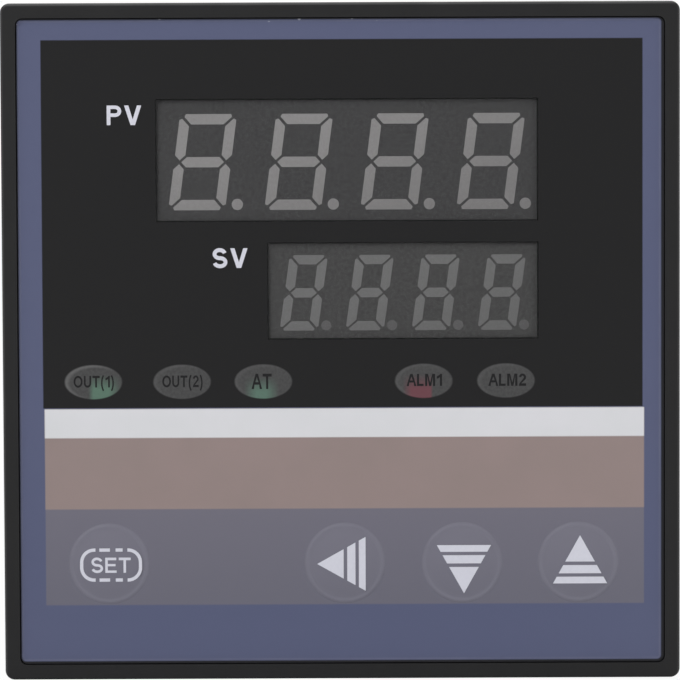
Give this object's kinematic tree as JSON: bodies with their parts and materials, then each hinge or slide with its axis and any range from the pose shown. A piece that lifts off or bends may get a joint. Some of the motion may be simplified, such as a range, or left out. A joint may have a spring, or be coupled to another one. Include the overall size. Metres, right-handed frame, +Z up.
{
  "type": "panel-mount temperature controller",
  "caption": "Square panel-mount temperature controller with a draw-out chassis, digital displays, indicator lamps, film-covered keys and rear screw terminals.",
  "frame": {"origin": "centre of the panel cut-out, in the plane of the panel's front face where the back of the flange bears", "axes": "+X to the right as the user faces the front, +Y back through the panel, +Z up"},
  "size_m": [0.072, 0.11, 0.072],
  "materials": {
    "case_plastic": "fine satin, black flame-retardant plastic",
    "block_plastic": "satin black",
    "brass_strip": "bright rolled strip",
    "plated_steel": "zinc plated",
    "front_plastic": "satin",
    "printed_film": "printed polyester film, lightly textured",
    "display_case": "satin grey face",
    "light_guides": "milky resin",
    "green_lamp": "tinted clear resin",
    "red_lamp": "tinted clear resin",
    "key_cap": "satin",
    "key_plunger": "satin",
    "switch_body": "satin",
    "circuit_board": "green solder mask",
    "header_plastic": "satin black",
    "nylon": "natural nylon",
    "chip_resin": "moulded epoxy",
    "crystal_can": "drawn can",
    "relay_case": "smooth moulded blue",
    "core_steel": "varnished laminations",
    "winding_tape": "yellow polyester tape",
    "capacitor_sleeve": "shrink sleeve"
  },
  "bodies": {
    "case": {"case_shell": "case_plastic", "terminal_block": "block_plastic", "terminal_plates": "brass_strip", "terminal_washers": "plated_steel", "terminal_screws": "plated_steel"},
    "chassis": {"alarm_lamp": "red_lamp", "alarm_relay": "relay_case", "board_spacers": "nylon", "clock_crystal": "crystal_can", "control_board": "circuit_board", "control_header": "header_plastic", "display_board": "circuit_board", "display_board_screws": "plated_steel", "down_switch": "switch_body", "front_film": "printed_film", "front_plate": "front_plastic", "input_amplifier": "chip_resin", "memory_chip": "chip_resin", "microcontroller": "chip_resin", "output_capacitor": "capacitor_sleeve", "output_lamp": "green_lamp", "output_relay": "relay_case", "power_board": "circuit_board", "power_header": "header_plastic", "pv_display_case": "display_case", "pv_display_segments": "light_guides", "set_switch": "switch_body", "shift_switch": "switch_body", "smoothing_capacitor": "capacitor_sleeve", "sv_display_case": "display_case", "sv_display_segments": "light_guides", "transformer_core": "core_steel", "transformer_winding": "winding_tape", "tuning_lamp": "green_lamp", "up_switch": "switch_body", "voltage_regulator": "chip_resin"},
    "set_key": {"set_key_cap": "key_cap", "set_key_plunger": "key_plunger"},
    "shift_key": {"shift_key_cap": "key_cap", "shift_key_plunger": "key_plunger"},
    "down_key": {"down_key_cap": "key_cap", "down_key_plunger": "key_plunger"},
    "up_key": {"up_key_cap": "key_cap", "up_key_plunger": "key_plunger"}
  },
  "joints": [
    {"name": "chassis_slide", "type": "slide", "parent": "case", "child": "chassis", "axis": [0, -1, 0], "range_m": [0, 0.1]},
    {"name": "set_key_press", "type": "slide", "parent": "chassis", "child": "set_key", "axis": [0, 1, 0], "range_m": [0, 0.00025], "stiffness_N_per_m": 6000},
    {"name": "shift_key_press", "type": "slide", "parent": "chassis", "child": "shift_key", "axis": [0, 1, 0], "range_m": [0, 0.00025], "stiffness_N_per_m": 6000},
    {"name": "down_key_press", "type": "slide", "parent": "chassis", "child": "down_key", "axis": [0, 1, 0], "range_m": [0, 0.00025], "stiffness_N_per_m": 6000},
    {"name": "up_key_press", "type": "slide", "parent": "chassis", "child": "up_key", "axis": [0, 1, 0], "range_m": [0, 0.00025], "stiffness_N_per_m": 6000}
  ]
}
